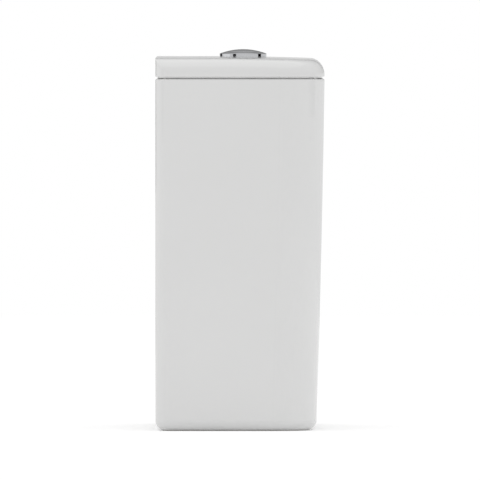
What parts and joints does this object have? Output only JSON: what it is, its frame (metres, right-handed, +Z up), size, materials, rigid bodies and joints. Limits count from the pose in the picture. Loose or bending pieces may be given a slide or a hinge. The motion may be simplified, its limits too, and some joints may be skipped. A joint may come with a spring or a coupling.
{
  "type": "toilet cistern",
  "caption": "Close-coupled ceramic cistern with lift-off lid, dual-flush push button, two-stage flush valve and float-operated fill valve.",
  "frame": {"origin": "middle of the underside, on the surface that the cistern stands on", "axes": "+Z up, +X along the width to the fill valve side, +Y to the wall, so the front faces -Y"},
  "size_m": [0.37, 0.175, 0.3938],
  "materials": {
    "glazed_china": "white vitreous china under a clear glossy glaze",
    "chrome_plate": "bright chromium plate on moulded plastic, polished",
    "black_rubber": "matt black rubber, moulded",
    "white_plastic": "white moulded plastic, satin",
    "grey_plastic": "mid grey moulded plastic, satin",
    "blue_plastic": "blue moulded plastic, satin",
    "green_plastic": "green moulded plastic, satin",
    "red_silicone": "red silicone, smooth",
    "spring_steel": "stainless spring wire, bright",
    "zinc_steel": "zinc plated steel",
    "brass": "plain brass, machined"
  },
  "bodies": {
    "tank": {"cistern_tank": "glazed_china", "outlet_body": "white_plastic", "outlet_gasket": "black_rubber", "outlet_backnut": "white_plastic", "coupling_seal": "black_rubber", "valve_cage": "white_plastic", "valve_head": "grey_plastic", "rocker_pins": "zinc_steel", "coupling_bolts": "zinc_steel", "bolt_cone_seals": "black_rubber", "bolt_washers": "zinc_steel", "bolt_nuts": "zinc_steel", "fill_shank": "white_plastic", "fill_shank_seal": "black_rubber", "fill_backnut": "brass", "fill_strainer": "grey_plastic", "fill_tube": "white_plastic", "fill_head": "grey_plastic", "fill_cap": "blue_plastic", "fill_lever_pin": "zinc_steel"},
    "lid": {"cistern_lid": "glazed_china", "lid_pads": "black_rubber", "button_bezel": "chrome_plate", "bezel_gasket": "black_rubber", "button_housing": "white_plastic", "button_backnut": "white_plastic", "full_button_spring": "spring_steel", "half_button_spring": "spring_steel"},
    "full_button": {"full_flush_button": "chrome_plate", "full_push_rod": "blue_plastic"},
    "half_button": {"half_flush_button": "chrome_plate", "half_push_rod": "green_plastic"},
    "full_lever": {"full_rocker": "blue_plastic"},
    "half_lever": {"half_rocker": "green_plastic"},
    "sleeve": {"flush_sleeve": "blue_plastic", "sleeve_seal": "red_silicone"},
    "inner_valve": {"overflow_tube": "white_plastic", "tube_seal": "red_silicone", "seal_retainer": "grey_plastic", "tube_float": "white_plastic", "tube_lift_arm": "green_plastic"},
    "float": {"fill_float": "grey_plastic", "float_link": "white_plastic", "level_nuts": "blue_plastic"},
    "float_arm": {"fill_lever": "grey_plastic"},
    "plunger": {"fill_plunger": "white_plastic"}
  },
  "joints": [
    {"name": "lid_lift", "type": "slide", "parent": "tank", "child": "lid", "axis": [0, 0, 1], "range_m": [0, 0.12]},
    {"name": "full_flush_press", "type": "slide", "parent": "lid", "child": "full_button", "axis": [0, 0, -1], "range_m": [0, 0.0065], "stiffness_N_per_m": 250, "springref_m": -0.004, "deforming": ["full_button_spring"]},
    {"name": "half_flush_press", "type": "slide", "parent": "lid", "child": "half_button", "axis": [0, 0, -1], "range_m": [0, 0.0065], "stiffness_N_per_m": 250, "springref_m": -0.004, "deforming": ["half_button_spring"]},
    {"name": "full_rocker_turn", "type": "hinge", "parent": "tank", "child": "full_lever", "pos_m": [0.02121, -0.0032, 0.33], "axis": [0, 1, 0], "range_deg": [-34.37, 0]},
    {"name": "half_rocker_turn", "type": "hinge", "parent": "tank", "child": "half_lever", "pos_m": [-0.02121, -0.0032, 0.33], "axis": [0, 1, 0], "range_deg": [0, 34.37]},
    {"name": "sleeve_lift", "type": "slide", "parent": "tank", "child": "sleeve", "axis": [0, 0, 1], "range_m": [0, 0.013]},
    {"name": "inner_valve_lift", "type": "slide", "parent": "sleeve", "child": "inner_valve", "axis": [0, 0, 1], "range_m": [0, 0.013]},
    {"name": "float_rise", "type": "slide", "parent": "tank", "child": "float", "axis": [0, 0, 1], "range_m": [0, 0.012]},
    {"name": "float_arm_turn", "type": "hinge", "parent": "tank", "child": "float_arm", "pos_m": [0.108, -0.0032, 0.314], "axis": [0, 1, 0], "range_deg": [-19.19, 0]},
    {"name": "plunger_rise", "type": "slide", "parent": "tank", "child": "plunger", "axis": [0, 0, 1], "range_m": [0, 0.00153]}
  ],
  "couplings": [
    {"joint": "full_rocker_turn", "follows": "full_flush_press", "rad_per_m": -92.28},
    {"joint": "sleeve_lift", "follows": "full_flush_press", "ratio": 2},
    {"joint": "half_rocker_turn", "follows": "half_flush_press", "rad_per_m": 92.28},
    {"joint": "inner_valve_lift", "follows": "half_flush_press", "ratio": 2},
    {"joint": "float_arm_turn", "follows": "float_rise", "rad_per_m": -27.9},
    {"joint": "plunger_rise", "follows": "float_rise", "ratio": 0.1267}
  ]
}
